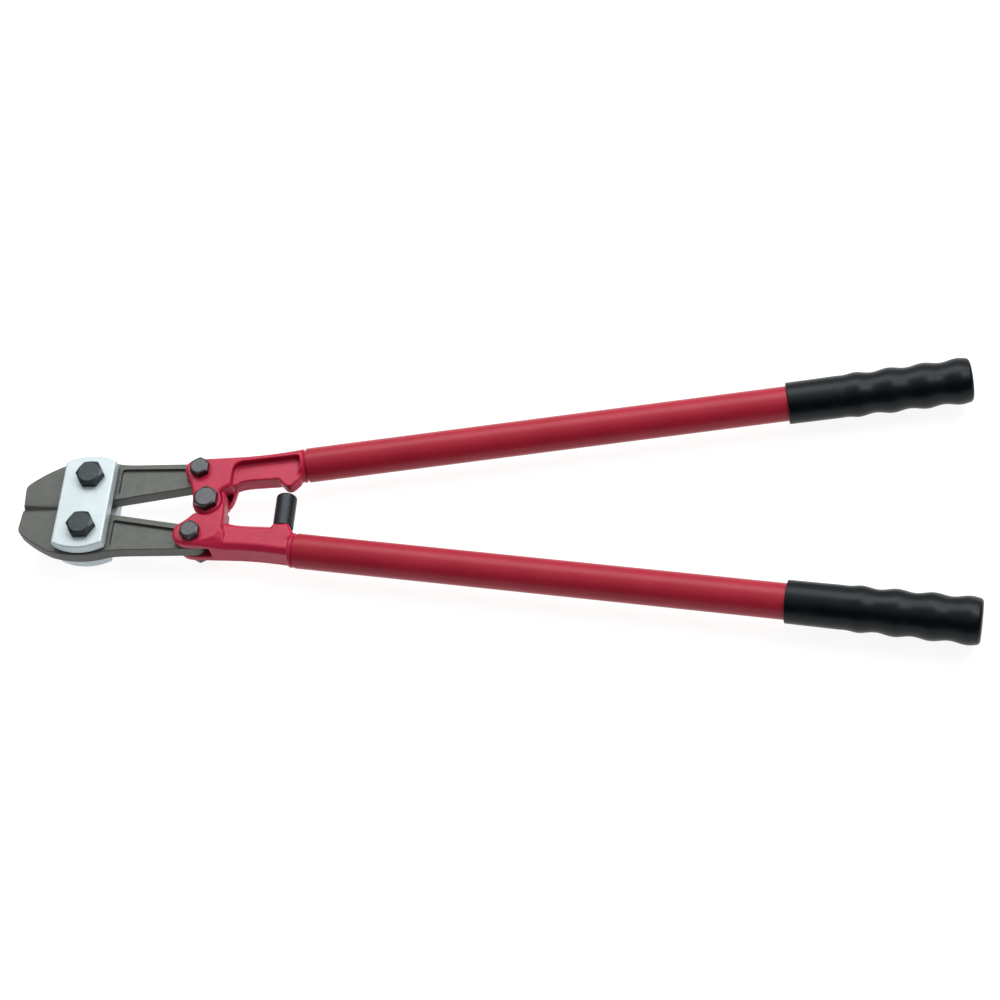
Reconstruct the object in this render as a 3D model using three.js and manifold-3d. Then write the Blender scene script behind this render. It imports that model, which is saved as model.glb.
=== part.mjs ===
// Compound-lever bolt cutters, 900 mm class, drawn closed.
// Millimetres, +Z up. While it is being built the tool lies flat with its centre pivot on the Z axis,
// the jaws pointing to -X and the handles to +X. The upper half is the one on the +Y side.
// The finished group is moved so that the origin is the middle of the underside of the whole tool.
import * as THREE from 'three';
import { mergeVertices } from 'three/addons/utils/BufferGeometryUtils.js';
import Module from 'manifold-3d';

const wasm = await Module();
wasm.setup();

// ---------------------------------------------------------------- driving dimensions

const GAP = 0.3;              // running gap between neighbouring pieces
const HALF_GAP = GAP / 2;
const FAR = 400;              // reach of a cutter that has to pass right through a piece

// Pivots of the upper half. The lower half mirrors them in y.
const PLATE_PIVOT = { x: -119, y: 27.9 };
const JAW_PIVOT = { x: -11.6, y: 34.9 };
const CENTRE = { x: -0.8, y: 0 };

// Heights either side of the mid-plane.
const JAW_Z = 6.85;
const PLATE_IN_Z = JAW_Z + GAP;
const PLATE_OUT_Z = 19;
const SLOT_Z = 7.3;           // half the width of the slot that the jaw's tail sits in
const FORGING_Z = 16.5;
const ARM_Z = 12;             // plain side of a handle arm
const WEB_Z = 9.5;            // floor of the pocket in a handle arm

// Handle tubes, in the frame of the handle's own axis.
const HANDLE_ROOT = { x: 89, y: 47.26 };
const HANDLE_ANGLE = Math.atan(0.129);
const TUBE_R = 16.5;
const TUBE_BORE_R = 14.3;
const TUBE_END = 614;
const SPIGOT_R = 14;
const SPIGOT_END = 46;
const COLLAR_START = -6;
const COLLAR_END = -2.2;

// Rubber grips.
const GRIP_START = 458;
const GRIP_END = 629.5;
const GRIP_BORE_R = TUBE_R + GAP;
const GRIP_R = 19.6;
const GRIP_FLARE = 1.2;       // growth of the radius from the mouth to the end
const GRIP_WAVE = 1.05;
const GRIP_PITCH = 31.8;
const GRIP_FIRST_WAVE = 56.5;
const GRIP_FLOOR = 5;

// Jaws.
const TIP_X = -186;
const KNUCKLE_R = PLATE_PIVOT.y - HALF_GAP;
const KNUCKLE_END = THREE.MathUtils.degToRad(-48);
const TAIL_R = 12.4;
const TAIL_SLOPE = 0.164;
const BEVEL_WIDTH = 4.2;
const BEVEL_DEPTH = 3.2;
const BEVEL_END_X = -130;
const PANEL_DEPTH = 3;
const PANEL_X = -93;
const LINKAGE_PLAY = 2.1;     // the linkage's open pivot needs this much travel in its hole

// Connecting plates.
const PLATE_X = -121.9;
const PLATE_HALF_WIDTH = 25;
const PLATE_SIDE_Y = 45;
const PLATE_SAG = 6.2;
const PLATE_EDGE = 1.2;

// Lap joint at the centre pivot.
const LUG_R = 14.6;           // lug in front, on the upper forging
const HIDDEN_LUG_R = 12.4;    // lug behind it, on the lower forging
const LUG_PLAY = 0.4;
const FORK_EDGE = 2;
const ARM_EDGE = 4.5;

// Stop between the handles.
const BUMPER = { x: 72.3, start: -22.6, end: 12.2, r: 9.8, bore: 5.3, depth: 22 };
const STUD_R = 5;
const STUD_LENGTH_IN_POST = 11;

// Fasteners: shank radius, width across flats, height of the head and of the nut.
const M16 = { shank: 8, flats: 24, head: 8.3, nut: 8, corner: 0 };
const M14 = { shank: 7, flats: 21, head: 7.8, nut: 8, corner: Math.PI / 2 };
const M10 = { shank: 5, flats: 17, head: 7.4, nut: 6.5, corner: Math.PI / 2 };
const WASHER_T = 2.6;
const THREAD_OUT = 1.6;       // length of thread that shows past a nut

const ROUND = 36;             // sides of the main round pieces
const FINE = 24;              // sides of the small ones

// ---------------------------------------------------------------- materials

const finish = (color, roughness, metalness) => new THREE.MeshStandardMaterial({ color, roughness, metalness });
const PHOSPHATED = finish(0x696b66, 0.55, 0.7);
const ZINC = finish(0xdce4e8, 0.35, 0.8);
const BOLT_STEEL = finish(0x59626a, 0.45, 0.8);
const RED_CAST = finish(0xc9314f, 0.45, 0.1);
const RED_TUBE = finish(0xbb2740, 0.3, 0.1);
const RUBBER = finish(0x1d2023, 0.7, 0);

// ---------------------------------------------------------------- solids

// A closed geometry as a solid that can be joined and cut. Slivers on an axis are left out.
function solid(geometry) {
  const bare = geometry.index ? geometry.toNonIndexed() : geometry.clone();
  bare.deleteAttribute('normal');
  bare.deleteAttribute('uv');
  const merged = mergeVertices(bare, 1e-4);
  const corners = merged.index.array;
  const kept = [];
  for (let i = 0; i < corners.length; i += 3) {
    const [a, b, c] = [corners[i], corners[i + 1], corners[i + 2]];
    if (a !== b && b !== c && c !== a) kept.push(a, b, c);
  }
  return new wasm.Manifold(new wasm.Mesh({
    numProp: 3,
    vertProperties: new Float32Array(merged.attributes.position.array),
    triVerts: new Uint32Array(kept),
  }));
}

// A solid as a geometry that a THREE.Mesh can hold.
function geometryOf(body) {
  const mesh = body.getMesh();
  const geometry = new THREE.BufferGeometry();
  geometry.setAttribute('position', new THREE.BufferAttribute(mesh.vertProperties, 3));
  geometry.setIndex(new THREE.BufferAttribute(mesh.triVerts, 1));
  geometry.computeVertexNormals();
  return geometry;
}

function piece(name, body, material) {
  const mesh = new THREE.Mesh(geometryOf(body), material);
  mesh.name = name;
  return mesh;
}

// A flat outline raised from one height to another, with its edges eased by `edge`.
function prism(shape, low, high, edge = 0) {
  const geometry = new THREE.ExtrudeGeometry(shape, {
    depth: high - low - 2 * edge,
    bevelEnabled: edge > 0,
    bevelThickness: edge,
    bevelSize: edge,
    bevelOffset: -edge,
    bevelSegments: 1,
    curveSegments: 8,
  });
  geometry.translate(0, 0, low + edge);
  return solid(geometry);
}

// A round bar standing on `low`.
function bar(x, y, radius, low, high, sides = FINE) {
  const geometry = new THREE.CylinderGeometry(radius, radius, high - low, sides);
  geometry.rotateX(Math.PI / 2);
  geometry.translate(x, y, (low + high) / 2);
  return solid(geometry);
}

function block(lowX, highX, lowY, highY, lowZ, highZ) {
  const geometry = new THREE.BoxGeometry(highX - lowX, highY - lowY, highZ - lowZ);
  geometry.translate((lowX + highX) / 2, (lowY + highY) / 2, (lowZ + highZ) / 2);
  return solid(geometry);
}

// A profile of [distance along the axis, radius] points turned about the X axis.
function turnedGeometry(profile, sides = ROUND) {
  const points = profile.map(([along, radius]) => new THREE.Vector2(radius, along));
  const geometry = new THREE.LatheGeometry(points, sides);
  geometry.rotateZ(-Math.PI / 2);
  return geometry;
}

// The same, placed on the axis of the upper handle.
function turnedOnHandle(profile) {
  const geometry = turnedGeometry(profile);
  geometry.rotateZ(HANDLE_ANGLE);
  geometry.translate(HANDLE_ROOT.x, HANDLE_ROOT.y, 0);
  return solid(geometry);
}

function outline(points) {
  return new THREE.Shape(points.map(([x, y]) => new THREE.Vector2(x, y)));
}

// ---------------------------------------------------------------- jaws

// The inner edge of the tail runs out to the jaw pivot, tangent to the round end.
const tailInnerY = (x) => 8.5 + TAIL_SLOPE * (x + 92);

function jawOutline() {
  const tailTangent = Math.atan(TAIL_SLOPE) - Math.PI / 2;
  const shape = new THREE.Shape();
  shape.moveTo(TIP_X, HALF_GAP);
  shape.lineTo(PLATE_PIVOT.x, HALF_GAP);
  shape.absarc(PLATE_PIVOT.x, PLATE_PIVOT.y, KNUCKLE_R, -Math.PI / 2, KNUCKLE_END, false);
  shape.absarc(JAW_PIVOT.x, JAW_PIVOT.y, TAIL_R, tailTangent, Math.PI / 2, false);
  shape.lineTo(-76, 47.3);
  shape.quadraticCurveTo(-90, 47.3, -98, 49);
  shape.quadraticCurveTo(-124, 56.6, -152, 48);
  shape.quadraticCurveTo(-170, 40, -184, 28.4);
  shape.quadraticCurveTo(-187.5, 25.6, -187.5, 21);
  return shape;
}

// The sunken panel in each face of the tail, ending in an arc round the jaw pivot.
function panelOutline() {
  const bossR = 15.5;
  const floorY = (x) => tailInnerY(x) + 6.2;
  const shape = new THREE.Shape();
  shape.moveTo(PANEL_X, floorY(PANEL_X) + 2);
  shape.quadraticCurveTo(PANEL_X, floorY(PANEL_X), PANEL_X + 2.5, floorY(PANEL_X + 2.5));
  shape.absarc(JAW_PIVOT.x, JAW_PIVOT.y, bossR, THREE.MathUtils.degToRad(213.7),
    THREE.MathUtils.degToRad(154.8), true);
  shape.lineTo(PANEL_X + 3.5, 42.2);
  shape.quadraticCurveTo(PANEL_X, 42.2, PANEL_X, 39);
  return shape;
}

// A wedge along the cutting edge that gives one side of the blade its bevel.
function bladeBevel() {
  const over = 0.25;
  const inner = HALF_GAP - over * BEVEL_WIDTH;
  const outer = HALF_GAP + (1 + over) * BEVEL_WIDTH;
  const low = JAW_Z - (1 + over) * BEVEL_DEPTH;
  const high = JAW_Z + over * BEVEL_DEPTH;
  const geometry = new THREE.ExtrudeGeometry(outline([[inner, low], [outer, high], [inner, high]]), {
    depth: BEVEL_END_X - TIP_X + 5,
    bevelEnabled: false,
  });
  geometry.rotateX(Math.PI / 2);
  geometry.rotateZ(Math.PI / 2);
  geometry.translate(TIP_X - 5, 0, 0);
  return solid(geometry);
}

// Each jaw is a blade, a round knuckle that rolls on the other jaw's, and a tail like an I-beam.
function jaw(playBelowPivot) {
  let body = prism(jawOutline(), -JAW_Z, JAW_Z, 0.6);
  body = body.subtract(bladeBevel()).subtract(solidFlipped(bladeBevel()));
  body = body.subtract(prism(panelOutline(), JAW_Z - PANEL_DEPTH, JAW_Z + 1));
  body = body.subtract(prism(panelOutline(), -JAW_Z - 1, PANEL_DEPTH - JAW_Z));
  body = body.subtract(bar(JAW_PIVOT.x, JAW_PIVOT.y, M10.shank + GAP, -JAW_Z - 1, JAW_Z + 1));
  return body.subtract(plateBoltHole(playBelowPivot));
}

// The hole is round, or a short slot where the linkage is left open.
function plateBoltHole(play) {
  const radius = M16.shank + GAP;
  const shape = new THREE.Shape();
  shape.absarc(PLATE_PIVOT.x, PLATE_PIVOT.y, radius, 0, Math.PI, false);
  shape.absarc(PLATE_PIVOT.x, PLATE_PIVOT.y - play, radius, Math.PI, 2 * Math.PI, false);
  return prism(shape, -JAW_Z - 1, JAW_Z + 1);
}

// The mirror image of a solid in the mid-plane of the tool.
function solidFlipped(body) {
  const geometry = geometryOf(body);
  geometry.scale(1, 1, -1);
  const corners = geometry.index.array;
  for (let i = 0; i < corners.length; i += 3) {
    const last = corners[i + 2];
    corners[i + 2] = corners[i + 1];
    corners[i + 1] = last;
  }
  return solid(geometry);
}

// ---------------------------------------------------------------- connecting plates

function plateOutline() {
  const arcR = (PLATE_HALF_WIDTH ** 2 + PLATE_SAG ** 2) / (2 * PLATE_SAG);
  const arcY = PLATE_SIDE_Y + PLATE_SAG - arcR;
  const half = Math.asin(PLATE_HALF_WIDTH / arcR);
  const shape = new THREE.Shape();
  shape.absarc(PLATE_X, arcY, arcR, Math.PI / 2 - half, Math.PI / 2 + half, false);
  shape.absarc(PLATE_X, -arcY, arcR, -Math.PI / 2 - half, -Math.PI / 2 + half, false);
  return shape;
}

function connectingPlate(low, high) {
  let body = prism(plateOutline(), low, high, PLATE_EDGE);
  for (const side of [1, -1]) {
    body = body.subtract(bar(PLATE_PIVOT.x, side * PLATE_PIVOT.y, M16.shank + GAP, low - 1, high + 1));
  }
  return body;
}

// ---------------------------------------------------------------- handle forgings

// Front half of the upper fork: the front ear and the lap lug round the centre pivot.
function frontOutline(lugR) {
  const shape = new THREE.Shape();
  shape.moveTo(11.5, 11.7);
  shape.lineTo(20.3, 17.6);
  shape.lineTo(20.3, 48.9);
  shape.lineTo(-12, 47.8);
  shape.quadraticCurveTo(-28.2, 46.9, -28, 36.9);
  shape.quadraticCurveTo(-27, 31, -22, 23);
  shape.quadraticCurveTo(-17.8, 15, CENTRE.x + lugR * Math.cos(3), lugR * Math.sin(3));
  shape.absarc(CENTRE.x, CENTRE.y, lugR, 3, 2 * Math.PI + 0.74, false);
  return shape;
}

// Right-hand side of the back half. On the lower forging it is a horn that wraps round the other
// forging's lug, on the upper one it stops above the lug.
const LONG_HORN = [[10.6, -8.5], [12.5, -11.5], [15.8, -9], [16.8, 3], [17.8, 15], [17.8, 30], [20.3, 34]];
const SHORT_HORN = [[8, 3], [13, 4.5], [15.2, 12], [18.1, 20]];

function backOutline(horn) {
  const shape = new THREE.Shape();
  shape.moveTo(...horn[0]);
  for (const point of horn.slice(1)) shape.lineTo(...point);
  shape.lineTo(20.3, 48.9);
  shape.lineTo(-12, 47.8);
  shape.quadraticCurveTo(-30.4, 47.4, -30.2, 33.5);
  shape.quadraticCurveTo(-30, 28, -26.4, 24.8);
  shape.quadraticCurveTo(-17.8, 19.4, -12.6, 12.8);
  shape.lineTo(-0.8, 12);
  return shape;
}

// The arm from the fork to the collar. Its inner edge runs into the fork with a fillet, and lies
// `fuller` millimetres nearer to the middle of the tool than it need be.
function armOutline(filletX, filletY, fuller = 0) {
  const shape = new THREE.Shape();
  shape.moveTo(6, filletY);
  shape.lineTo(filletX, filletY);
  shape.quadraticCurveTo(filletX + 3, 24.9 - fuller, 38, 26 - fuller);
  shape.lineTo(63, 27.4 - fuller);
  shape.lineTo(84, 31.4);
  shape.lineTo(86, 56.6);
  shape.quadraticCurveTo(50, 49.8, 20, 49);
  shape.lineTo(6, 48.4);
  return shape;
}

// The sunken panel in the front of the arm. It is open along the arm's inner edge.
function armPocket() {
  const shape = new THREE.Shape();
  shape.moveTo(19.5, 8);
  shape.lineTo(19.5, 33.5);
  shape.quadraticCurveTo(19.5, 42.6, 30.5, 43.6);
  shape.lineTo(80.5, 49.1);
  shape.quadraticCurveTo(84.9, 49.5, 84.5, 45.5);
  shape.lineTo(82.1, 8);
  return prism(shape, WEB_Z, FORGING_Z + 1);
}

// The slot is open to the left and to the outer side, so that the tail can swing out.
function forkSlot() {
  return block(-FAR, 5, 18, FAR, -SLOT_Z, SLOT_Z);
}

// Collar and spigot that carry the tube.
function tubeSocket() {
  return turnedOnHandle([[COLLAR_START, 0], [COLLAR_START, TUBE_R - 1], [COLLAR_START + 2, TUBE_R],
    [COLLAR_END - 0.6, TUBE_R], [COLLAR_END, TUBE_R - 0.6], [COLLAR_END, SPIGOT_R],
    [SPIGOT_END - 1.5, SPIGOT_R], [SPIGOT_END, SPIGOT_R - 1.5], [SPIGOT_END, 0]]);
}

// A wedge that slopes off the back of the fork. It starts from a point on the back face and falls
// by `drop` over the length of `run`, in the given direction.
function slope(x, y, degrees, drop, run) {
  const end = drop - FORGING_Z;
  const wedge = [[0, -FORGING_Z], [run, end], [FAR, end], [FAR, -FORGING_Z - 1], [0, -FORGING_Z - 1]];
  const geometry = new THREE.ExtrudeGeometry(outline(wedge), { depth: 2 * FAR, bevelEnabled: false });
  geometry.translate(0, 0, -FAR);
  geometry.rotateX(Math.PI / 2);
  geometry.rotateZ(THREE.MathUtils.degToRad(degrees));
  geometry.translate(x, y, 0);
  return solid(geometry);
}

// The back of the fork slopes down to the arm, and its outer edge runs on into the arm's chamfer.
function withSlopes(back) {
  const fork = block(-FAR, 20.3, 0, FAR, -FAR, FAR);
  const toArm = slope(17.8, 30, 36, FORGING_Z - ARM_Z, 13);
  const toChamfer = slope(17.8, 38, 73, 9, 12).intersect(fork);
  return back.subtract(toArm).subtract(toChamfer);
}

// Cup on the upper forging's short horn, beside the tip of the other forging's horn.
function withCup(back) {
  const rim = outline([[8, 8], [10, 2], [17.5, 2.5], [20, 8], [21.3, 14], [22.5, 22], [8, 22]]);
  const wide = outline([[8, 11], [12, 4], [16.2, 4], [18.4, 9], [19.4, 17], [8, 18]]);
  const narrow = outline([[8, 11], [11.8, 6.5], [13.6, 12], [16, 18.5], [9, 18.5]]);
  const whole = back.add(prism(rim, -7, HALF_GAP, 1));
  return whole.subtract(prism(wide, -6, FAR)).subtract(prism(narrow, -15, FAR));
}

function forging({ lugR, facingLugR, horn, hasCup, backFilletX, backFuller, addStop }) {
  const inFront = block(-FAR, FAR, -FAR, FAR, HALF_GAP, FAR);
  const behind = block(-FAR, FAR, -FAR, FAR, -FAR, HALF_GAP);
  const hornTop = block(0, FAR, -FAR, 13, -HALF_GAP, FAR);
  const relief = bar(CENTRE.x, CENTRE.y, facingLugR + LUG_PLAY, -FAR, FAR, ROUND);
  const frontArm = prism(armOutline(24, 21), -FORK_EDGE, FORGING_Z, FORK_EDGE);
  const backArm = prism(armOutline(backFilletX, 20.5, backFuller), -ARM_Z, 10, ARM_EDGE);
  const front = prism(frontOutline(lugR), -10, FORGING_Z, FORK_EDGE).add(frontArm).intersect(inFront);
  let back = prism(backOutline(horn), -FORGING_Z, 10, FORK_EDGE).add(backArm).intersect(behind);
  if (hasCup) back = withCup(back);
  back = withSlopes(back.subtract(relief).subtract(hornTop));
  let body = front.add(back);
  body = body.subtract(armPocket()).subtract(forkSlot());
  body = addStop(body.add(tubeSocket()));
  body = body.subtract(bar(JAW_PIVOT.x, JAW_PIVOT.y, M10.shank + GAP, -FAR, FAR));
  return body.subtract(bar(CENTRE.x, CENTRE.y, M14.shank + GAP, -FAR, FAR));
}

// Nose on the upper arm that the bumper meets.
function withNose(body) {
  const shape = new THREE.Shape();
  shape.moveTo(61, 30);
  shape.lineTo(65, 25.6);
  shape.lineTo(69.5, 20.8);
  shape.quadraticCurveTo(74.8, 15.8, 80.2, 21.6);
  shape.lineTo(84.4, 26.6);
  shape.lineTo(86, 33);
  return body.add(prism(shape, -4, WEB_Z, 1));
}

// Post on the lower arm, in the frame of the upper half, with the hole for the bumper's stud.
function withPost(body) {
  const top = -BUMPER.start + GAP;
  const shape = outline([[58, 30], [62.6, 27.5], [64.8, top], [80, top], [85.8, 33], [85.8, 42], [58, 42]]);
  const depth = STUD_LENGTH_IN_POST + GAP;
  const hole = new THREE.CylinderGeometry(STUD_R + GAP, STUD_R + GAP, depth + 1, FINE);
  hole.translate(BUMPER.x, top + (depth - 1) / 2, 0);
  return body.add(prism(shape, -ARM_Z, WEB_Z, 2.5)).subtract(solid(hole));
}

// ---------------------------------------------------------------- tubes, grips and stop

function handleTube() {
  const ease = 0.6;
  return solid(turnedGeometry([[0, TUBE_BORE_R], [0, TUBE_R - ease], [ease, TUBE_R], [TUBE_END, TUBE_R],
    [TUBE_END, TUBE_BORE_R], [0, TUBE_BORE_R]]));
}

// Radius of the grip at a distance from its mouth.
function gripRadius(along) {
  const length = GRIP_END - GRIP_START;
  const swell = GRIP_R + GRIP_FLARE * (along / length);
  if (along < GRIP_FIRST_WAVE) return swell;
  const phase = 2 * Math.PI * (along - GRIP_FIRST_WAVE) / GRIP_PITCH;
  return swell + GRIP_WAVE * Math.sin(phase);
}

function grip() {
  const length = GRIP_END - GRIP_START;
  const step = GRIP_PITCH / 6;
  const round = 5;
  const profile = [[GRIP_START, GRIP_BORE_R], [GRIP_START, GRIP_R - 1], [GRIP_START + 1, GRIP_R]];
  for (let along = GRIP_FIRST_WAVE; along < length - round; along += step) {
    profile.push([GRIP_START + along, gripRadius(along)]);
  }
  const endR = gripRadius(length - round);
  for (let turn = 0; turn <= 4; turn += 1) {
    const angle = (Math.PI / 2) * (turn / 4);
    profile.push([GRIP_END - round + round * Math.sin(angle), endR - round + round * Math.cos(angle)]);
  }
  profile.push([GRIP_END, 0], [GRIP_END - GRIP_FLOOR, 0], [GRIP_END - GRIP_FLOOR, GRIP_BORE_R],
    [GRIP_START, GRIP_BORE_R]);
  return solid(turnedGeometry(profile));
}

// Rubber buffer on its stud, standing across the tool between the handles.
function bumperRubber() {
  const round = 1.8;
  const { start, end, r, bore, depth } = BUMPER;
  const geometry = turnedGeometry([[start, bore], [start, r - 0.8], [start + 0.8, r], [end - round, r],
    [end - 0.5, r - 0.8], [end, r - round - 0.8], [end, 0], [start + depth, 0], [start + depth, bore],
    [start, bore]], FINE);
  geometry.rotateZ(Math.PI / 2);
  geometry.translate(BUMPER.x, 0, 0);
  return solid(geometry);
}

function bumperStud() {
  const start = BUMPER.start - STUD_LENGTH_IN_POST;
  const end = BUMPER.start + BUMPER.depth - 1;
  const geometry = turnedGeometry([[start, 0], [start, STUD_R], [end, STUD_R], [end, 0]], FINE);
  geometry.rotateZ(Math.PI / 2);
  geometry.translate(BUMPER.x, 0, 0);
  return solid(geometry);
}

// ---------------------------------------------------------------- fasteners

// A hexagonal prism whose corners are turned off by a cone at the given ends.
function hexBody(size, low, high, bothEnds) {
  const cornerR = size.flats / 2 / Math.cos(Math.PI / 6);
  const hexagon = [];
  for (let i = 0; i < 6; i += 1) {
    const angle = size.corner + (i * Math.PI) / 3;
    hexagon.push([cornerR * Math.cos(angle), cornerR * Math.sin(angle)]);
  }
  const drop = size.flats * 0.085;
  const faceR = size.flats * 0.43;
  const startR = bothEnds ? faceR : cornerR + 0.1;
  const startZ = bothEnds ? low + drop : low;
  const cone = turnedGeometry([[low, 0], [low, startR], [startZ + 0.01, cornerR + 0.2],
    [high - drop, cornerR + 0.2], [high, faceR], [high, 0]], FINE);
  cone.rotateY(-Math.PI / 2);
  return prism(outline(hexagon), low, high).intersect(solid(cone));
}

function moved(body, x, y) {
  const geometry = geometryOf(body);
  geometry.translate(x, y, 0);
  return solid(geometry);
}

// A bolt with its head in front, its shank through to the back and its end showing past the nut.
function bolt(size, x, y, seat) {
  const underHead = seat + GAP / 2;
  const tip = -seat - GAP - WASHER_T - size.nut - GAP - THREAD_OUT;
  const head = hexBody(size, underHead, underHead + size.head, false);
  const shank = bar(0, 0, size.shank, tip, underHead + 1);
  return moved(head.add(shank), x, y);
}

function washer(size, x, y, seat) {
  const top = -seat - GAP / 2;
  const ring = bar(x, y, size.flats / 2 - 0.4, top - WASHER_T, top);
  return ring.subtract(bar(x, y, size.shank + GAP, -FAR, FAR));
}

function nut(size, x, y, seat) {
  const top = -seat - GAP - WASHER_T;
  const ring = moved(hexBody(size, top - size.nut, top, true), x, y);
  return ring.subtract(bar(x, y, size.shank + GAP, -FAR, FAR));
}

// ---------------------------------------------------------------- assembly

const tool = new THREE.Group();

function addFasteners(prefix, size, x, y, seat) {
  tool.add(piece(`${prefix}_bolt`, bolt(size, x, y, seat), BOLT_STEEL));
  tool.add(piece(`${prefix}_spring_washer`, washer(size, x, y, seat), BOLT_STEEL));
  tool.add(piece(`${prefix}_nut`, nut(size, x, y, seat), BOLT_STEEL));
}

// One half of the tool. The lower half is the upper one turned over about the X axis.
function addHalf(name, turnOver, play, forgingParts) {
  const half = new THREE.Group();
  half.rotation.x = turnOver ? Math.PI : 0;
  half.add(piece(`${name}_jaw`, jaw(play), PHOSPHATED));
  half.add(piece(`${name}_handle_forging`, forging(forgingParts), RED_CAST));
  const axis = new THREE.Group();
  axis.position.set(HANDLE_ROOT.x, HANDLE_ROOT.y, 0);
  axis.rotation.z = HANDLE_ANGLE;
  axis.add(piece(`${name}_handle_tube`, handleTube(), RED_TUBE));
  axis.add(piece(`${name}_grip`, grip(), RUBBER));
  half.add(axis);
  tool.add(half);
}

const upperParts = { lugR: LUG_R, facingLugR: HIDDEN_LUG_R, horn: SHORT_HORN, hasCup: true,
  backFilletX: 19.5, addStop: withNose };
const lowerParts = { lugR: HIDDEN_LUG_R, facingLugR: LUG_R, horn: LONG_HORN, hasCup: false,
  backFilletX: 21, backFuller: 2.5, addStop: withPost };
addHalf('upper', false, LINKAGE_PLAY, upperParts);
addHalf('lower', true, 0, lowerParts);
tool.add(piece('front_plate', connectingPlate(PLATE_IN_Z, PLATE_OUT_Z), ZINC));
tool.add(piece('back_plate', connectingPlate(-PLATE_OUT_Z, -PLATE_IN_Z), ZINC));
addFasteners('upper_plate', M16, PLATE_PIVOT.x, PLATE_PIVOT.y, PLATE_OUT_Z);
addFasteners('lower_plate', M16, PLATE_PIVOT.x, -PLATE_PIVOT.y, PLATE_OUT_Z);
addFasteners('upper_jaw', M10, JAW_PIVOT.x, JAW_PIVOT.y, FORGING_Z);
addFasteners('lower_jaw', M10, JAW_PIVOT.x, -JAW_PIVOT.y, FORGING_Z);
addFasteners('centre', M14, CENTRE.x, CENTRE.y, FORGING_Z);
tool.add(piece('stop_bumper', bumperRubber(), RUBBER));
tool.add(piece('bumper_stud', bumperStud(), BOLT_STEEL));

tool.updateMatrixWorld(true);
const extent = new THREE.Box3().setFromObject(tool, true);
tool.position.set(-(extent.min.x + extent.max.x) / 2, 0, -extent.min.z);

export default tool;
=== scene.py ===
"""Bolt cutters: the looks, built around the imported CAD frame.

Shapes are drawn in millimetres from a point beside the centre bolt, with x towards the handles, y towards
the upper handle and z along the bolts towards their heads, and are then placed in the row frame in metres.
The lower half of the tool is the upper half turned over about x.
"""
import math

import bmesh
import bpy
from mathutils import Matrix, Vector


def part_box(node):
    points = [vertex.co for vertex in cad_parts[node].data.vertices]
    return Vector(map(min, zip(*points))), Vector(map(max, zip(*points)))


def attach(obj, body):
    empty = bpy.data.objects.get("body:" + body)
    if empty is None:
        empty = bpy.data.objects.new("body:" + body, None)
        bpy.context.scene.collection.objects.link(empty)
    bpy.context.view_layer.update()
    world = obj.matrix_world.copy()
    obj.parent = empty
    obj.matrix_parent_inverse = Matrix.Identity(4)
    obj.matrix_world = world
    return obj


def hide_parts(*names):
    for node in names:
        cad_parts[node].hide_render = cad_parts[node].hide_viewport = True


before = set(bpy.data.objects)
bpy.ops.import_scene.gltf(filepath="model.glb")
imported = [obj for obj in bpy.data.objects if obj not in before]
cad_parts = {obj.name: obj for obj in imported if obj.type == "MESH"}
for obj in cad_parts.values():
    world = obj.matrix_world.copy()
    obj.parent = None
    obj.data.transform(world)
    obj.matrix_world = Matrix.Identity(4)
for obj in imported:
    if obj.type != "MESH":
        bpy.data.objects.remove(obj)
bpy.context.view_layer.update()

MM = 0.001
TAU = 2 * math.pi


def middle(node):
    """The middle of a CAD node in the row frame, in metres."""
    low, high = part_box(node)
    return (low + high) / 2


# ---------------------------------------------------------------- driving dimensions

CENTRE_X = -0.8                     # the centre bolt sits just left of the drawing's origin
ORIGIN = Vector((middle("centre_bolt").x - CENTRE_X * MM, middle("centre_bolt").y, middle("upper_jaw").z))


def drawn(node):
    """The middle of a CAD node, in the drawing's millimetres."""
    return (middle(node) - ORIGIN) / MM


PLATE_PIVOT = drawn("upper_plate_bolt")
JAW_PIVOT = drawn("upper_jaw_bolt")
PLATE = drawn("front_plate")
JAW_Z = (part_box("upper_jaw")[1].z - ORIGIN.z) / MM
PLATE_IN_Z, PLATE_OUT_Z = [(corner.z - ORIGIN.z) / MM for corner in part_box("front_plate")]
FORGING_Z = (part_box("upper_handle_forging")[1].z - ORIGIN.z) / MM
HANDLE_ROOT = Vector((89, 47.26, 0))
HANDLE_ANGLE = math.atan(0.129)
TUBE_R = 16.5
TUBE_BORE_R = 14.3
TUBE_END = 614
GRIP_START, GRIP_END = 458, 629.5
GRIP_MOUTH_R = 19.6
GRIP_SWELL = 1.2
GRIP_WAVE = 1.05
GRIP_PITCH = 31.8
GRIP_FIRST_WAVE = 56.5              # how far along the grip the waves start
HOLE_PLAY = 0.3
LINKAGE_PLAY = 2.1
M16 = {"shank": 8, "flats": 24, "head": 8.3, "nut": 8, "pitch": 2, "turn": 0}
M14 = {"shank": 7, "flats": 21, "head": 7.8, "nut": 8, "pitch": 2, "turn": TAU / 4}
M10 = {"shank": 5, "flats": 17, "head": 7.4, "nut": 6.5, "pitch": 1.5, "turn": TAU / 4}
WASHER_T = 2.6
THREAD_OUT = 1.6
THREAD_PLAY = 0.1

UPPER = Matrix.Identity(4)
LOWER = Matrix.Rotation(math.pi, 4, "X")
ON_HANDLE = Matrix.Translation(HANDLE_ROOT) @ Matrix.Rotation(HANDLE_ANGLE, 4, "Z")
TO_ROW = Matrix.Translation(ORIGIN) @ Matrix.Scale(MM, 4)

# ---------------------------------------------------------------- materials


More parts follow.
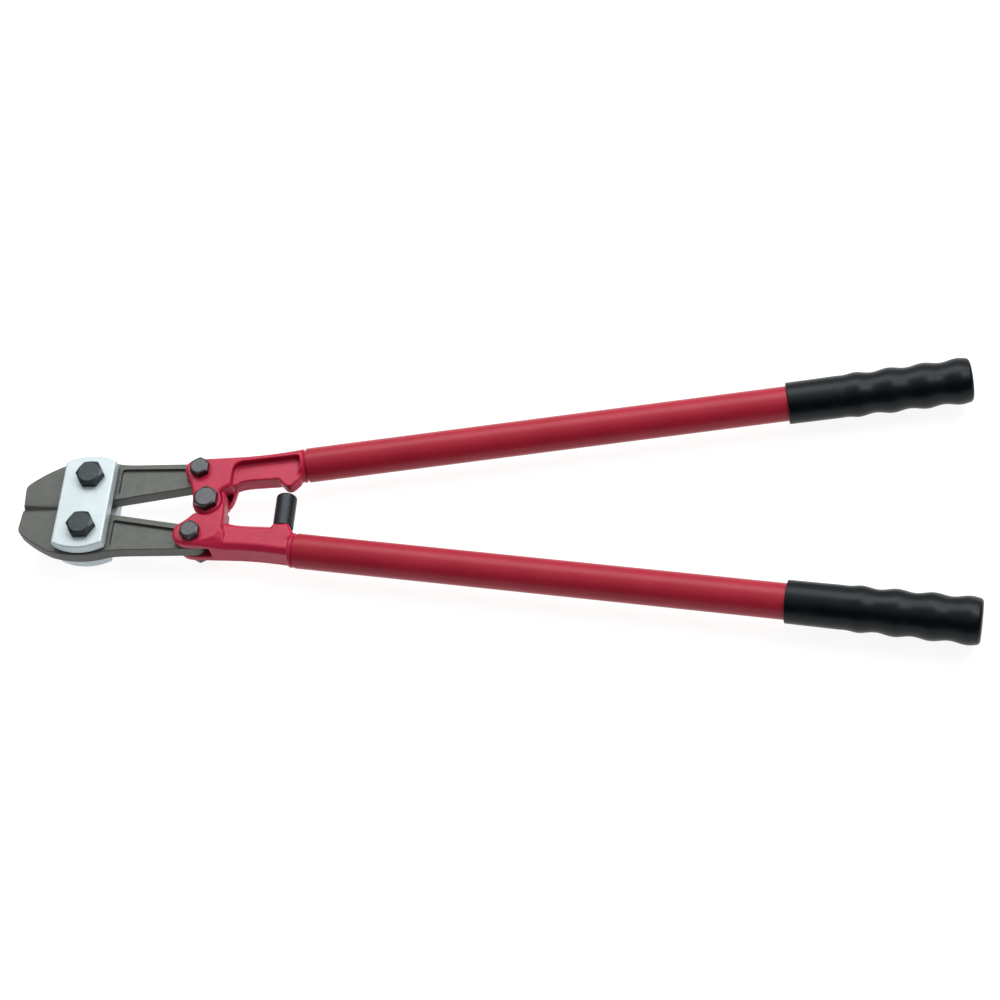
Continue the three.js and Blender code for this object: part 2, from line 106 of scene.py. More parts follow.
class Shader:
    """A Principled material and its nodes, with helpers for procedural detail in object space."""

    def __init__(self, name):
        self.material = bpy.data.materials.new(name)
        self.material.use_nodes = True
        self.nodes = self.material.node_tree.nodes
        self.links = self.material.node_tree.links
        self.surface = self.nodes["Principled BSDF"]
        self.place = self.nodes.new("ShaderNodeTexCoord").outputs["Object"]
        self.height = None

    def link(self, source, target):
        self.links.new(source, target)

    def noise(self, size_mm, detail=4, roughness=0.55, stretch=(1, 1, 1)):
        """A noise from 0 to 1 whose features are about this size."""
        mapping = self.nodes.new("ShaderNodeMapping")
        mapping.inputs["Scale"].default_value = stretch
        self.link(self.place, mapping.inputs["Vector"])
        noise = self.nodes.new("ShaderNodeTexNoise")
        noise.inputs["Scale"].default_value = 1 / (size_mm * MM)
        noise.inputs["Detail"].default_value = detail
        noise.inputs["Roughness"].default_value = roughness
        self.link(mapping.outputs["Vector"], noise.inputs["Vector"])
        return noise.outputs["Fac"]

    def spread(self, value, low, high, to_low=0, to_high=1):
        node = self.nodes.new("ShaderNodeMapRange")
        node.inputs["From Min"].default_value = low
        node.inputs["From Max"].default_value = high
        node.inputs["To Min"].default_value = to_low
        node.inputs["To Max"].default_value = to_high
        self.link(value, node.inputs["Value"])
        return node.outputs["Result"]

    def mix(self, factor, first, second):
        """Colours first and second mixed by factor. Each is a colour or a socket."""
        node = self.nodes.new("ShaderNodeMix")
        node.data_type = "RGBA"
        self.link(factor, node.inputs["Factor"])
        for socket, value in ((node.inputs["A"], first), (node.inputs["B"], second)):
            if isinstance(value, bpy.types.NodeSocket):
                self.link(value, socket)
            else:
                socket.default_value = (*value, 1)
        return node.outputs["Result"]

    def bump(self, value, depth_mm, strength=1):
        node = self.nodes.new("ShaderNodeBump")
        node.inputs["Strength"].default_value = strength
        node.inputs["Distance"].default_value = depth_mm * MM
        self.link(value, node.inputs["Height"])
        if self.height:
            self.link(self.height, node.inputs["Normal"])
        self.height = node.outputs["Normal"]

    def finish(self, colour, roughness, **uniform):
        """Colour and roughness are sockets. The rest is set on the shader's own sockets."""
        self.link(colour, self.surface.inputs["Base Color"])
        self.link(roughness, self.surface.inputs["Roughness"])
        if self.height:
            self.link(self.height, self.surface.inputs["Normal"])
        for name, value in uniform.items():
            self.surface.inputs[name.replace("_", " ")].default_value = value
        return self.material


def phosphated_steel():
    shader = Shader("phosphated_steel")
    mottle = shader.noise(9, 5, 0.6)
    grain = shader.noise(0.8, 3)
    colour = shader.mix(shader.spread(mottle, 0.35, 0.65), (0.104, 0.11, 0.102), (0.12, 0.125, 0.117))
    shader.bump(grain, 0.05, 0.6)
    shader.bump(shader.noise(5, 3), 0.16, 0.5)
    roughness = shader.spread(grain, 0.3, 0.7, 0.5, 0.66)
    return shader.finish(colour, roughness, Metallic=0.8)


def zinc_plate():
    shader = Shader("zinc_plated_steel")
    cloud = shader.noise(14, 4)
    brushed = shader.noise(1.2, 3, 0.6, (0.25, 1, 1))
    colour = shader.mix(shader.spread(cloud, 0.35, 0.65), (0.48, 0.56, 0.58), (0.54, 0.62, 0.64))
    shader.bump(brushed, 0.012, 0.5)
    roughness = shader.spread(cloud, 0.3, 0.7, 0.36, 0.46)
    return shader.finish(colour, roughness, Metallic=0.2)


def bolt_steel(name, dark, light):
    shader = Shader(name)
    mottle = shader.noise(2.5, 4)
    colour = shader.mix(shader.spread(mottle, 0.35, 0.65), dark, light)
    shader.bump(shader.noise(0.7, 3), 0.03, 0.6)
    roughness = shader.spread(mottle, 0.3, 0.7, 0.29, 0.38)
    return shader.finish(colour, roughness, Metallic=0.85)


def red_forging_paint():
    shader = Shader("red_forging_paint")
    cloud = shader.noise(22, 4)
    skin = shader.noise(3.2, 3)
    colour = shader.mix(shader.spread(cloud, 0.35, 0.65), (0.4, 0.013, 0.046), (0.44, 0.018, 0.054))
    shader.bump(skin, 0.12, 0.6)
    shader.bump(shader.noise(9, 2), 0.4, 0.6)
    roughness = shader.spread(skin, 0.3, 0.7, 0.27, 0.37)
    return shader.finish(colour, roughness, Specular_IOR_Level=0.2)


def red_tube_paint():
    shader = Shader("red_tube_paint")
    cloud = shader.noise(40, 3)
    peel = shader.noise(2.4, 2)
    colour = shader.mix(shader.spread(cloud, 0.35, 0.65), (0.315, 0.013, 0.029), (0.35, 0.016, 0.034))
    shader.bump(peel, 0.02, 0.5)
    roughness = shader.spread(peel, 0.3, 0.7, 0.3, 0.38)
    return shader.finish(colour, roughness, Specular_IOR_Level=0.2)


def black_rubber(name, dark, light, shine):
    shader = Shader(name)
    dust = shader.noise(18, 5, 0.6)
    grain = shader.noise(0.6, 3)
    colour = shader.mix(shader.spread(dust, 0.35, 0.7), dark, light)
    shader.bump(grain, 0.05, 0.5)
    roughness = shader.spread(dust, 0.3, 0.7, 0.31, 0.4)
    return shader.finish(colour, roughness, Specular_IOR_Level=shine, Specular_Tint=(0.88, 0.96, 1, 1))


def pale_floor():
    """A white light table, so that the tool throws almost no shadow."""
    shader = Shader("pale_floor")
    cloud = shader.noise(400, 2)
    colour = shader.mix(shader.spread(cloud, 0.3, 0.7), (0.22, 0.22, 0.22), (0.24, 0.24, 0.24))
    return shader.finish(colour, shader.spread(cloud, 0, 1, 0.85, 0.95), Specular_IOR_Level=0.1,
                         Emission_Color=(1, 1, 1, 1), Emission_Strength=0.9)


MATERIALS = {
    "phosphated_steel": phosphated_steel(),
    "zinc_plated_steel": zinc_plate(),
    "dark_bolt_steel": bolt_steel("dark_bolt_steel", (0.028, 0.036, 0.038), (0.041, 0.049, 0.051)),
    "grey_bolt_steel": bolt_steel("grey_bolt_steel", (0.042, 0.045, 0.047), (0.07, 0.07, 0.076)),
    "red_forging_paint": red_forging_paint(),
    "red_tube_paint": red_tube_paint(),
    "black_rubber": black_rubber("black_rubber", (0.001, 0.002, 0.003), (0.002, 0.003, 0.004), 0.2),
    "buffer_rubber": black_rubber("buffer_rubber", (0.006, 0.009, 0.012), (0.01, 0.013, 0.016), 0.3),
}

# ---------------------------------------------------------------- outlines


def polar(radius, angle):
    return radius * math.cos(angle), radius * math.sin(angle)


class Outline:
    """A closed outline made of lines, arcs and quadratic curves."""

    def __init__(self, x, y):
        self.points = [Vector((x, y))]

    def line(self, x, y):
        self.points.append(Vector((x, y)))
        return self

    def curve(self, bend_x, bend_y, x, y, steps=16):
        start, bend, end = self.points[-1], Vector((bend_x, bend_y)), Vector((x, y))
        for i in range(1, steps + 1):
            t = i / steps
            self.points.append((1 - t) ** 2 * start + 2 * t * (1 - t) * bend + t * t * end)
        return self

    def arc(self, centre, radius, start, end, steps=24):
        for i in range(steps + 1):
            x, y = polar(radius, start + (end - start) * i / steps)
            self.line(centre.x + x, centre.y + y)
        return self

    def clean(self):
        """The points without neighbours that lie on each other."""
        kept = []
        for point in self.points:
            if not kept or (point - kept[-1]).length > 0.02:
                kept.append(point)
        if (kept[0] - kept[-1]).length < 0.02:
            kept.pop()
        return kept


def inset_points(points, amount):
    """The outline moved inwards by an amount, which may be negative."""
    moved = []
    for i, point in enumerate(points):
        into = (point - points[i - 1]).normalized()
        out = (points[(i + 1) % len(points)] - point).normalized()
        first, second = Vector((-into.y, into.x)), Vector((-out.y, out.x))
        across = (first + second).normalized()
        moved.append(point + across * amount / max(0.5, across.dot(first)))
    return moved


# ---------------------------------------------------------------- mesh code


def loft(points, levels):
    """A closed solid through the outline at each (inset, z) level, with flat ends."""
    bm = bmesh.new()
    rings = []
    for inset, z in levels:
        rings.append([bm.verts.new((p.x, p.y, z)) for p in inset_points(points, inset)])
    bm.faces.new(reversed(rings[0]))
    bm.faces.new(rings[-1])
    for lower, upper in zip(rings, rings[1:]):
        for i in range(len(lower)):
            j = (i + 1) % len(lower)
            bm.faces.new((lower[i], lower[j], upper[j], upper[i]))
    return bm


def slab(points, low, high, edge, steps=4):
    """A plate with rounded edges."""
    turns = [TAU / 4 * i / steps for i in range(steps + 1)]
    bottom = [(edge * (1 - math.sin(a)), low + edge * (1 - math.cos(a))) for a in turns]
    top = [(edge * (1 - math.cos(a)), high - edge * (1 - math.sin(a))) for a in turns]
    return loft(points, bottom + top)


def turned(profile, sides=64):
    """A profile of (radius, z) points turned about z. It starts and ends on the axis, or is closed."""
    bm = bmesh.new()
    on_axis = [radius < 1e-6 for radius, _ in profile]
    rings = []
    for (radius, z), single in zip(profile, on_axis):
        count = 1 if single else sides
        rings.append([bm.verts.new((*polar(radius, TAU * k / sides), z)) for k in range(count)])
    pairs = list(zip(rings, rings[1:]))
    if not on_axis[0]:
        pairs.append((rings[-1], rings[0]))
    for lower, upper in pairs:
        for k in range(sides):
            corners = [lower[k % len(lower)], lower[(k + 1) % len(lower)],
                       upper[(k + 1) % len(upper)], upper[k % len(upper)]]
            unique = list(dict.fromkeys(corners))
            if len(unique) > 2:
                bm.faces.new(unique)
    bmesh.ops.recalc_face_normals(bm, faces=bm.faces)
    return bm


def drill(place, radius, low, high):
    """A round cutter for a hole through these heights."""
    bm = turned([(0, low), (radius, low), (radius, high), (0, high)], 48)
    bmesh.ops.translate(bm, vec=(place.x, place.y, 0), verts=bm.verts)
    return bm


def join(*parts):
    """Several meshes in one."""
    whole = bmesh.new()
    for part in parts:
        mesh = bpy.data.meshes.new("part")
        part.to_mesh(mesh)
        whole.from_mesh(mesh)
        part.free()
        bpy.data.meshes.remove(mesh)
    return whole


def temporary(bm):
    """A throwaway object for a boolean."""
    mesh = bpy.data.meshes.new("cutter")
    bm.to_mesh(mesh)
    bm.free()
    thing = bpy.data.objects.new("cutter", mesh)
    bpy.context.scene.collection.objects.link(thing)
    return thing


def applied(thing):
    """The object's mesh with its modifiers applied, as a bmesh. The object is removed."""
    bm = bmesh.new()
    bm.from_object(thing, bpy.context.evaluated_depsgraph_get())
    mesh = thing.data
    bpy.data.objects.remove(thing)
    bpy.data.meshes.remove(mesh)
    return bm


def cut(body, *cutters, operation="DIFFERENCE"):
    """The body with each cutter taken away, or kept only where they meet."""
    thing = temporary(body)
    tools = [temporary(cutter) for cutter in cutters]
    for tool in tools:
        modifier = thing.modifiers.new("cut", "BOOLEAN")
        modifier.object = tool
        modifier.operation = operation
        modifier.solver = "EXACT"
    result = applied(thing)
    for tool in tools:
        mesh = tool.data
        bpy.data.objects.remove(tool)
        bpy.data.meshes.remove(mesh)
    return result


def eased(bm, width, angle=35, steps=2):
    """Edges sharper than the angle get a small round."""
    thing = temporary(bm)
    modifier = thing.modifiers.new("ease", "BEVEL")
    modifier.width = width
    modifier.segments = steps
    modifier.limit_method = "ANGLE"
    modifier.angle_limit = math.radians(angle)
    return applied(thing)


def piece(name, bm, slot, body, *nodes, turn=UPPER, sharp=38, look=None):
    """Places a mesh in the row frame as a finished piece that stands for some CAD nodes.

    It takes the material built for the record's finish slot, or a material of its own where look names one.
    """
    bmesh.ops.remove_doubles(bm, verts=bm.verts, dist=0.002)
    for edge in bm.edges:
        edge.smooth = len(edge.link_faces) == 2 and edge.calc_face_angle(0) < math.radians(sharp)
    for face in bm.faces:
        face.smooth = True
    bmesh.ops.transform(bm, matrix=TO_ROW @ turn, verts=bm.verts)
    mesh = bpy.data.meshes.new(name)
    bm.to_mesh(mesh)
    bm.free()
    mesh.materials.append(MATERIALS[look or slot])
    thing = bpy.data.objects.new(name, mesh)
    bpy.context.scene.collection.objects.link(thing)
    weighted = thing.modifiers.new("weighted normals", "WEIGHTED_NORMAL")
    weighted.keep_sharp = True
    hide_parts(*nodes)
    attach(thing, body)
    return thing


# ---------------------------------------------------------------- jaws

TIP_X = -186
EDGE_Y = HOLE_PLAY / 2              # the jaws' edges and knuckles all but meet on y = 0
TAIL_R = 12.4
TAIL_ROOT_X, TAIL_ROOT_Y = -92, 8.5
TAIL_SLOPE = 0.164
PANEL_X = -93
PANEL_TOP = 42.2
PANEL_DEPTH = 3
FLANGE = 6.2                        # width of the rim between a tail's inner edge and its panel
BEVEL_WIDTH, BEVEL_DEPTH = 4.2, 3.2
BEVEL_END_X = -130                  # the bevel runs out under the plates
SOFT_EDGE = 0.35
THROUGH = 9                         # cutters reach this far either side of the jaws' middle


def tail_inner_y(x):
    """The inner edge of a jaw's tail, which is tangent to its round end."""
    return TAIL_ROOT_Y + TAIL_SLOPE * (x - TAIL_ROOT_X)


def jaw_outline():
    """From the tip along the cutting edge, round the knuckle and the tail, and back over the top."""
    knuckle_r = PLATE_PIVOT.y - EDGE_Y
    tangent = math.atan(TAIL_SLOPE) - TAU / 4
    shape = Outline(TIP_X, EDGE_Y)
    shape.arc(PLATE_PIVOT, knuckle_r, -TAU / 4, math.radians(-48), 14)
    shape.arc(JAW_PIVOT, TAIL_R, tangent, TAU / 4)
    shape.line(-76, 47.3).curve(-90, 47.3, -98, 49).curve(-124, 56.6, -152, 48)
    shape.curve(-170, 40, -184, 28.4).curve(-187.5, 25.6, -187.5, 21, 6)
    return shape.clean()


def panel_outline():
    """The sunken panel in each face of the tail, ending in an arc round the jaw pivot."""
    low, next_x = tail_inner_y(PANEL_X) + FLANGE, PANEL_X + 2.5
    shape = Outline(PANEL_X, low + 2)
    shape.curve(PANEL_X, low, next_x, tail_inner_y(next_x) + FLANGE, 6)
    shape.arc(JAW_PIVOT, 15.5, math.radians(213.7), math.radians(154.8), 12)
    shape.line(PANEL_X + 3.5, PANEL_TOP).curve(PANEL_X, PANEL_TOP, PANEL_X, PANEL_TOP - 3.2, 6)
    return shape.clean()


def jaw(play):
    """A jaw whose hole for the plate bolt is longer than the bolt needs by this play."""
    body = slab(jaw_outline(), -JAW_Z, JAW_Z, 0.9)
    cutters = []
    for side in (1, -1):
        wall = [(1.5, PANEL_DEPTH), (0.5, PANEL_DEPTH - 0.5), (0.1, PANEL_DEPTH - 1.3), (-0.6, -1)]
        levels = [(inset, side * (JAW_Z - depth)) for inset, depth in wall]
        panel = loft(panel_outline(), levels)
        bmesh.ops.recalc_face_normals(panel, faces=panel.faces)
        cutters.append(panel)
        cutters.append(blade_bevel(side))
    cutters.append(drill(JAW_PIVOT, M10["shank"] + HOLE_PLAY, -THROUGH, THROUGH))
    hole_r = M16["shank"] + HOLE_PLAY
    hole = Outline(PLATE_PIVOT.x + hole_r, PLATE_PIVOT.y).arc(PLATE_PIVOT, hole_r, 0, math.pi)
    hole.arc(PLATE_PIVOT - Vector((0, play, 0)), hole_r, math.pi, TAU)
    cutters.append(loft(hole.clean(), [(0, -THROUGH), (0, THROUGH)]))
    return eased(cut(body, *cutters), SOFT_EDGE, 40)


def blade_bevel(side):
    """The wedge taken off one side of the cutting edge, drawn a little larger than the bevel."""
    over = 0.25
    inner, outer = EDGE_Y - over * BEVEL_WIDTH, EDGE_Y + (1 + over) * BEVEL_WIDTH
    low, high = side * (JAW_Z - (1 + over) * BEVEL_DEPTH), side * (JAW_Z + over * BEVEL_DEPTH)
    bm = bmesh.new()
    ends = [[bm.verts.new((x, y, z)) for y, z in ((inner, low), (outer, high), (inner, high))]
            for x in (TIP_X - 8, BEVEL_END_X)]
    bm.faces.new(ends[0])
    bm.faces.new(reversed(ends[1]))
    for i in range(3):
        j = (i + 1) % 3
        bm.faces.new((ends[0][i], ends[0][j], ends[1][j], ends[1][i]))
    bmesh.ops.recalc_face_normals(bm, faces=bm.faces)
    return bm


# ---------------------------------------------------------------- connecting plates


def plate(low, high):
    """A connecting plate between two heights, with straight sides and arched ends."""
    half, side_y, sag = 25, 45, 6.2
    arc_r = (half ** 2 + sag ** 2) / (2 * sag)
    middle_y = side_y + sag - arc_r
    spread = math.asin(half / arc_r)
    shape = Outline(PLATE.x + half, side_y)
    shape.arc(Vector((PLATE.x, middle_y)), arc_r, TAU / 4 - spread, TAU / 4 + spread, 28)
    shape.arc(Vector((PLATE.x, -middle_y)), arc_r, -TAU / 4 - spread, -TAU / 4 + spread, 28)
    body = slab(shape.clean(), low, high, 2, 6)
    holes = [drill(Vector((PLATE_PIVOT.x, side * PLATE_PIVOT.y)), M16["shank"] + HOLE_PLAY, low - 1, high + 1)
             for side in (1, -1)]
    return cut(body, *holes)


# ---------------------------------------------------------------- forgings


def softened(node, voxel_mm, rounds, keep):
    """The CAD forging with the soft edges and fillets that a casting mould leaves, in drawn millimetres."""
    thing = bpy.data.objects.new("soft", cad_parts[node].data.copy())
    bpy.context.scene.collection.objects.link(thing)
    remesh = thing.modifiers.new("remesh", "REMESH")
    remesh.mode = "VOXEL"
    remesh.voxel_size = voxel_mm * MM
    smooth = thing.modifiers.new("smooth", "SMOOTH")
    smooth.factor = 0.5
    smooth.iterations = rounds
    thin = thing.modifiers.new("thin", "DECIMATE")
    thin.ratio = keep
    bm = applied(thing)
    bmesh.ops.transform(bm, matrix=TO_ROW.inverted(), verts=bm.verts)
    return bm


# ---------------------------------------------------------------- tubes, grips and stop


def rounded(radius, z, edge, outward, steps=6):
    """Points of a quarter round at the end of a turned profile."""
    turns = [TAU / 4 * i / steps for i in range(steps + 1)]
    if outward:
        return [(radius - edge + edge * math.cos(a), z - edge + edge * math.sin(a)) for a in turns]
    return [(radius - edge + edge * math.sin(a), z + edge - edge * math.cos(a)) for a in turns]


def tube():
    """A tube whose first end is rounded, where it meets the forging's collar."""
    mouth = rounded(TUBE_R, 0, 0.6, False)
    profile = [(TUBE_BORE_R, 0), *mouth, (TUBE_R, TUBE_END), (TUBE_BORE_R, TUBE_END)]
    return lay_along_handle(turned(profile, 128))


def lay_along_handle(bm):
    """Turns the axis of a turned mesh from z to x."""
    bmesh.ops.rotate(bm, matrix=Matrix.Rotation(TAU / 4, 4, "Y"), verts=bm.verts)
    return bm


def grip_radius(along):
    """The grip swells from its mouth, and waves for the fingers fade in further along."""
    swell = GRIP_MOUTH_R + GRIP_SWELL * along / (GRIP_END - GRIP_START)
    wave = GRIP_WAVE * math.sin(TAU * (along - GRIP_FIRST_WAVE) / GRIP_PITCH)
    fade = 16
    blend = min(1, max(0, (along - GRIP_FIRST_WAVE + fade / 2) / fade))
    return swell + wave * blend


def grip():
    """A grip with a bore for the tube and a closed end that is slightly domed."""
    length = GRIP_END - GRIP_START
    bore, wall, round_r, dome_r, dome = TUBE_R + HOLE_PLAY, 5, 4, 8, 0.4
    profile = [(bore, GRIP_START), *rounded(GRIP_MOUTH_R, GRIP_START, 1, False, 4)]
    steps = 110
    for i in range(1, steps):
        along = 1 + (length - round_r - 1) * i / steps
        profile.append((grip_radius(along), GRIP_START + along))
    profile += rounded(grip_radius(length - round_r), GRIP_END - dome, round_r, True, 8)
    profile += [(dome_r, GRIP_END), (0, GRIP_END), (0, GRIP_END - wall), (bore, GRIP_END - wall)]
    return lay_along_handle(turned(profile, 96))


def bumper():
    """The rubber buffer, a round cap over the stud."""
    low, high = [(corner.y - ORIGIN.y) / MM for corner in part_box("stop_bumper")]
    radius, bore, depth, foot_round, top_round = 9.8, 5.3, 22, 0.8, 2.4
    foot, top = rounded(radius, low, foot_round, False, 4), rounded(radius, high, top_round, True, 8)
    profile = [(bore, low), *foot, *top, (0, high), (0, low + depth), (bore, low + depth)]
    bm = turned(profile, 72)
    bmesh.ops.rotate(bm, matrix=Matrix.Rotation(-TAU / 4, 4, "X"), verts=bm.verts)
    bmesh.ops.translate(bm, vec=(drawn("stop_bumper").x, 0, 0), verts=bm.verts)
    return bm


# ---------------------------------------------------------------- fasteners

HEX_FACE = 0.86                     # the round face on a hexagon, as a share of the width across flats
HEX_CHAMFER = 0.085                 # the depth of the chamfer round it, as a share of that width


def hexagon(size):
    """The outline of a bolt head or a nut."""
    corner_r = size["flats"] / 2 / math.cos(math.pi / 6)
    return [Vector(polar(corner_r, size["turn"] + i * TAU / 6)) for i in range(6)]


def hex_block(size, low, high, both_ends):
    """A hexagon whose corners are turned off, as on a bolt head or a nut."""
    corner_r = size["flats"] / 2 / math.cos(math.pi / 6) + 0.3
    face_r, drop = size["flats"] / 2 * HEX_FACE, size["flats"] * HEX_CHAMFER
    foot = [(face_r, low), (corner_r, low + drop)] if both_ends else [(corner_r, low)]
    cone = turned([(0, low), *foot, (corner_r, high - drop), (face_r, high), (0, high)], 96)
    block = loft(hexagon(size), [(0, low - 1), (0, high + 1)])
    return eased(cut(block, cone, operation="INTERSECT"), SOFT_EDGE, 25, 3)


def threaded_bar(size, low, high):
    """A shank whose lower end carries a screw thread and a chamfer."""
    sides, thread_length = 48, size["nut"] + THREAD_OUT + 1
    depth, step = 0.3 * size["pitch"], size["pitch"] / 6
    chamfer_length, chamfer_depth = 0.5 * size["pitch"], 0.7
    bm = bmesh.new()
    rings = []
    count = int(thread_length / step)
    heights = [low + i * step for i in range(count + 1)] + [high]
    for z in heights:
        ring = []
        for k in range(sides):
            turn = ((z - low) / size["pitch"] + k / sides) % 1
            groove = depth * abs(2 * turn - 1) if z < high else 0
            chamfer = chamfer_depth * max(0, 1 - (z - low) / chamfer_length)
            radius = size["shank"] - THREAD_PLAY - max(groove, chamfer)
            ring.append(bm.verts.new((*polar(radius, TAU * k / sides), z)))
        rings.append(ring)
    bm.faces.new(reversed(rings[0]))
    bm.faces.new(rings[-1])
    for lower, upper in zip(rings, rings[1:]):
        for k in range(sides):
            j = (k + 1) % sides
            bm.faces.new((lower[k], lower[j], upper[j], upper[k]))
    return bm


def bolt(size, seat):
    """A bolt whose head sits on top of the seat and whose shank shows past the nut."""
    under = seat + HOLE_PLAY / 2
    tip = -seat - HOLE_PLAY - WASHER_T - size["nut"] - HOLE_PLAY - THREAD_OUT
    return join(hex_block(size, under, under + size["head"], False), threaded_bar(size, tip, under + 1))


def nut(size, seat):
    """A nut whose hole is countersunk at both ends."""
    top = -seat - HOLE_PLAY - WASHER_T
    low, bore, sink = top - size["nut"], size["shank"] + THREAD_PLAY, 0.9
    mouth = bore + sink + 1
    profile = [(0, low - 1), (mouth, low - 1), (bore, low + sink), (bore, top - sink), (mouth, top + 1),
               (0, top + 1)]
    return cut(hex_block(size, low, top, True), turned(profile, 48))


def spring_washer(size, seat):
    """A square-section ring with a slanting split whose ends are a little sprung apart."""
    top = -seat - HOLE_PLAY / 2
    inner, outer, ease = size["shank"] + HOLE_PLAY, size["flats"] / 2 - 0.4, 0.25
    section = [(inner, ease), (inner + ease, 0), (outer - ease, 0), (outer, ease), (outer, 1 - ease),
               (outer - ease, 1), (inner + ease, 1), (inner, 1 - ease)]
    steps, gap, lift, slant, squash = 60, 0.13, 0.12, 0.14, 0.94
    bm = bmesh.new()
    rings = []
    for i in range(steps + 1):
        share = i / steps
        lean = slant if share < 0.03 or share > 0.97 else 0
        ring = []
        for radius, level in section:
            angle = gap + (TAU - 2 * gap) * share + lean * (level - 0.5)
            z = top - WASHER_T * (1 - level) * squash - lift * share
            ring.append(bm.verts.new((*polar(radius, angle), z)))
        rings.append(ring)
    bm.faces.new(rings[0])
    bm.faces.new(reversed(rings[-1]))
    for first, second in zip(rings, rings[1:]):
        for k in range(len(section)):
            j = (k + 1) % len(section)
            bm.faces.new((first[k], first[j], second[j], second[k]))
    bmesh.ops.recalc_face_normals(bm, faces=bm.faces)
    return bm


def add_fasteners(prefix, size, seat, body, look="grey_bolt_steel"):
    """A bolt, its nut and its spring washer, seated at this height above and below the middle."""
    place = Matrix.Translation((drawn(f"{prefix}_bolt").x, drawn(f"{prefix}_bolt").y, 0))
    for kind, make in (("bolt", bolt), ("nut", nut), ("spring_washer", spring_washer)):
        node = f"{prefix}_{kind}"
        piece(f"{node}_look", make(size, seat), "dark_bolt_steel", body, node, turn=place, sharp=30,
              look=look)


# ---------------------------------------------------------------- assembly


def add_half(name, turn, play):
    """One jaw and one handle."""
    handle = f"{name}_handle"
    along = turn @ ON_HANDLE
    piece(f"{name}_jaw_look", jaw(play), "phosphated_steel", f"{name}_jaw", f"{name}_jaw", turn=turn)
    forging = softened(f"{handle}_forging", voxel_mm=0.7, rounds=17, keep=0.4)
    piece(f"{handle}_forging_look", forging, "red_forging_paint", handle, f"{handle}_forging", sharp=180)
    piece(f"{handle}_tube_look", tube(), "red_tube_paint", handle, f"{handle}_tube", turn=along)
    piece(f"{name}_grip_look", grip(), "black_rubber", handle, f"{name}_grip", turn=along, sharp=50)


add_half("upper", UPPER, LINKAGE_PLAY)
add_half("lower", LOWER, 0)
piece("front_plate_look", plate(PLATE_IN_Z, PLATE_OUT_Z), "zinc_plated_steel", "link_plates", "front_plate")
piece("back_plate_look", plate(-PLATE_OUT_Z, -PLATE_IN_Z), "zinc_plated_steel", "link_plates", "back_plate")
for name in ("upper", "lower"):
    add_fasteners(f"{name}_plate", M16, PLATE_OUT_Z, "link_plates", "dark_bolt_steel")
for name in ("upper", "lower"):
    add_fasteners(f"{name}_jaw", M10, FORGING_Z, f"{name}_handle")
add_fasteners("centre", M14, FORGING_Z, "lower_handle")
piece("stop_bumper_look", bumper(), "black_rubber", "lower_handle", "stop_bumper", sharp=50,
      look="buffer_rubber")
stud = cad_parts["bumper_stud"]
stud.data.materials.clear()
stud.data.materials.append(MATERIALS["dark_bolt_steel"])

# ---------------------------------------------------------------- studio

CAMERA_PLACE = Vector((0.61768, -1.07433, 1.75391))     # metres from the drawing's origin
CAMERA_RIGHT = Vector((0.98650, 0.07121, -0.14745))
CAMERA_UP = Vector((0.01641, 0.85296, 0.52171))


def add_floor():
    """A square floor just under the tool."""
    bm = bmesh.new()
    half, z = 16, -0.0002
    corners = ((-half, -half), (half, -half), (half, half), (-half, half))
    bm.faces.new([bm.verts.new((x, y, z)) for x, y in corners])
    mesh = bpy.data.meshes.new("floor")
    bm.to_mesh(mesh)
    bm.free()
    mesh.materials.append(pale_floor())
    floor = bpy.data.objects.new("floor", mesh)
    bpy.context.scene.collection.objects.link(floor)


def aimed(thing, position, target):
    """Puts a thing in the scene so that it looks at a target."""
    thing.location = position
    thing.rotation_euler = (Vector(target) - Vector(position)).to_track_quat("-Z", "Y").to_euler()
    bpy.context.scene.collection.objects.link(thing)


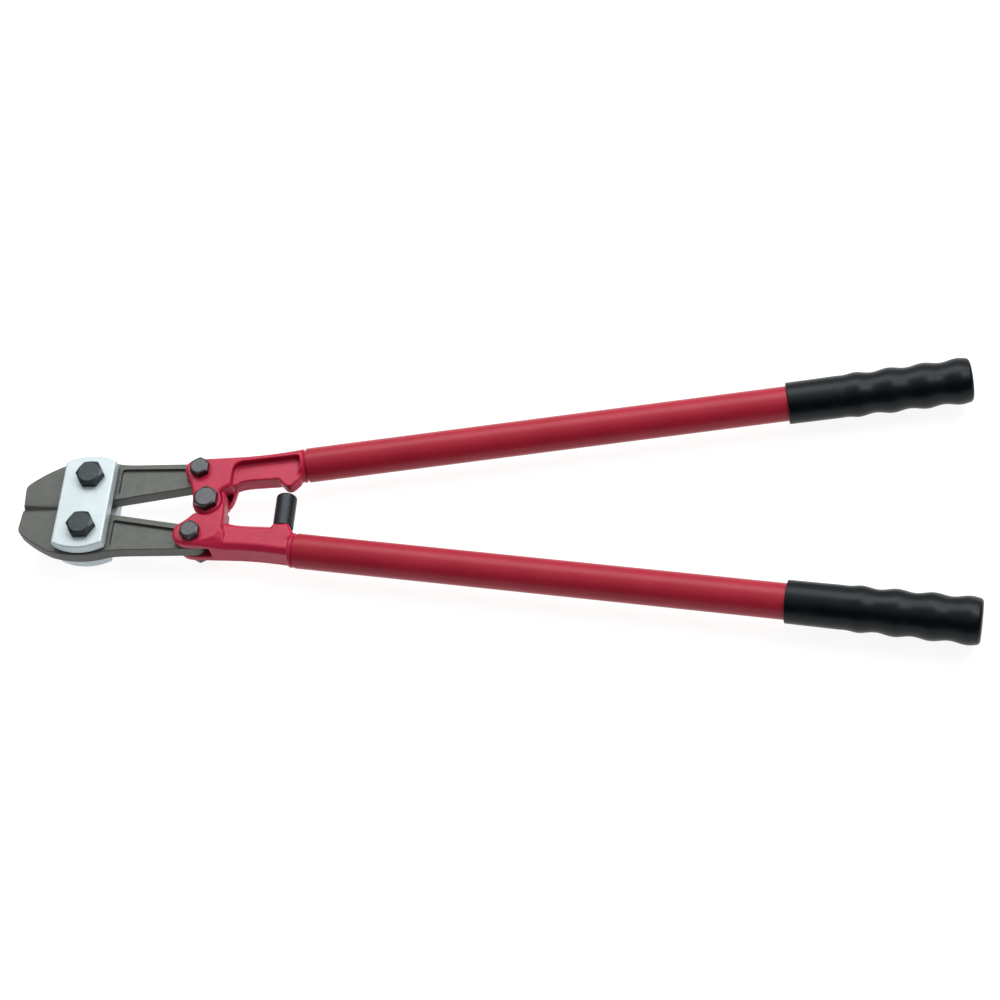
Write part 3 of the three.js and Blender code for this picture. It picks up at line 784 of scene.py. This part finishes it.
def add_light(name, direction, distance, width, height, watts):
    """A soft rectangle that looks at the middle of the tool."""
    light = bpy.data.lights.new(name, "AREA")
    light.shape = "RECTANGLE"
    light.size = width
    light.size_y = height
    light.energy = watts
    position = Vector(direction).normalized() * distance
    aimed(bpy.data.objects.new(name, light), position, (0, 0, 0))


def add_world(towards, dim, bright):
    """White surroundings that are bright on one side and dim all round the rest."""
    world = bpy.data.worlds.new("studio")
    world.use_nodes = True
    nodes, links = world.node_tree.nodes, world.node_tree.links
    along = nodes.new("ShaderNodeVectorMath")
    along.operation = "DOT_PRODUCT"
    along.inputs[1].default_value = Vector(towards).normalized()
    links.new(nodes.new("ShaderNodeTexCoord").outputs["Generated"], along.inputs[0])
    level = nodes.new("ShaderNodeMapRange")
    level.interpolation_type = "SMOOTHSTEP"
    level.inputs["From Min"].default_value = 0.2
    level.inputs["From Max"].default_value = 0.95
    level.inputs["To Min"].default_value = dim
    level.inputs["To Max"].default_value = bright
    links.new(along.outputs["Value"], level.inputs["Value"])
    links.new(level.outputs["Result"], nodes["Background"].inputs["Strength"])
    nodes["Background"].inputs["Color"].default_value = (1, 1, 1, 1)
    bpy.context.scene.world = world


def add_camera():
    """A long lens that looks down on the tool from the handles' side."""
    camera = bpy.data.cameras.new("camera")
    camera.sensor_width = 36
    camera.lens = 80.54
    camera.clip_end = 50
    thing = bpy.data.objects.new("camera", camera)
    axes = Matrix((CAMERA_RIGHT, CAMERA_UP, CAMERA_RIGHT.cross(CAMERA_UP))).transposed().to_4x4()
    thing.matrix_world = Matrix.Translation(ORIGIN + CAMERA_PLACE) @ axes
    bpy.context.scene.collection.objects.link(thing)
    bpy.context.scene.camera = thing


add_camera()
add_floor()
add_world((-0.02, 0.5, 0.86), 0.04, 0.9)
add_light("key", (0.08, 0.54, 0.84), 1.9, 2.4, 1.1, 35)
add_light("rim", (0.55, 0.08, 0.83), 1.9, 0.5, 0.5, 7)
bpy.context.scene.view_settings.view_transform = "Standard"

bpy.context.view_layer.update()
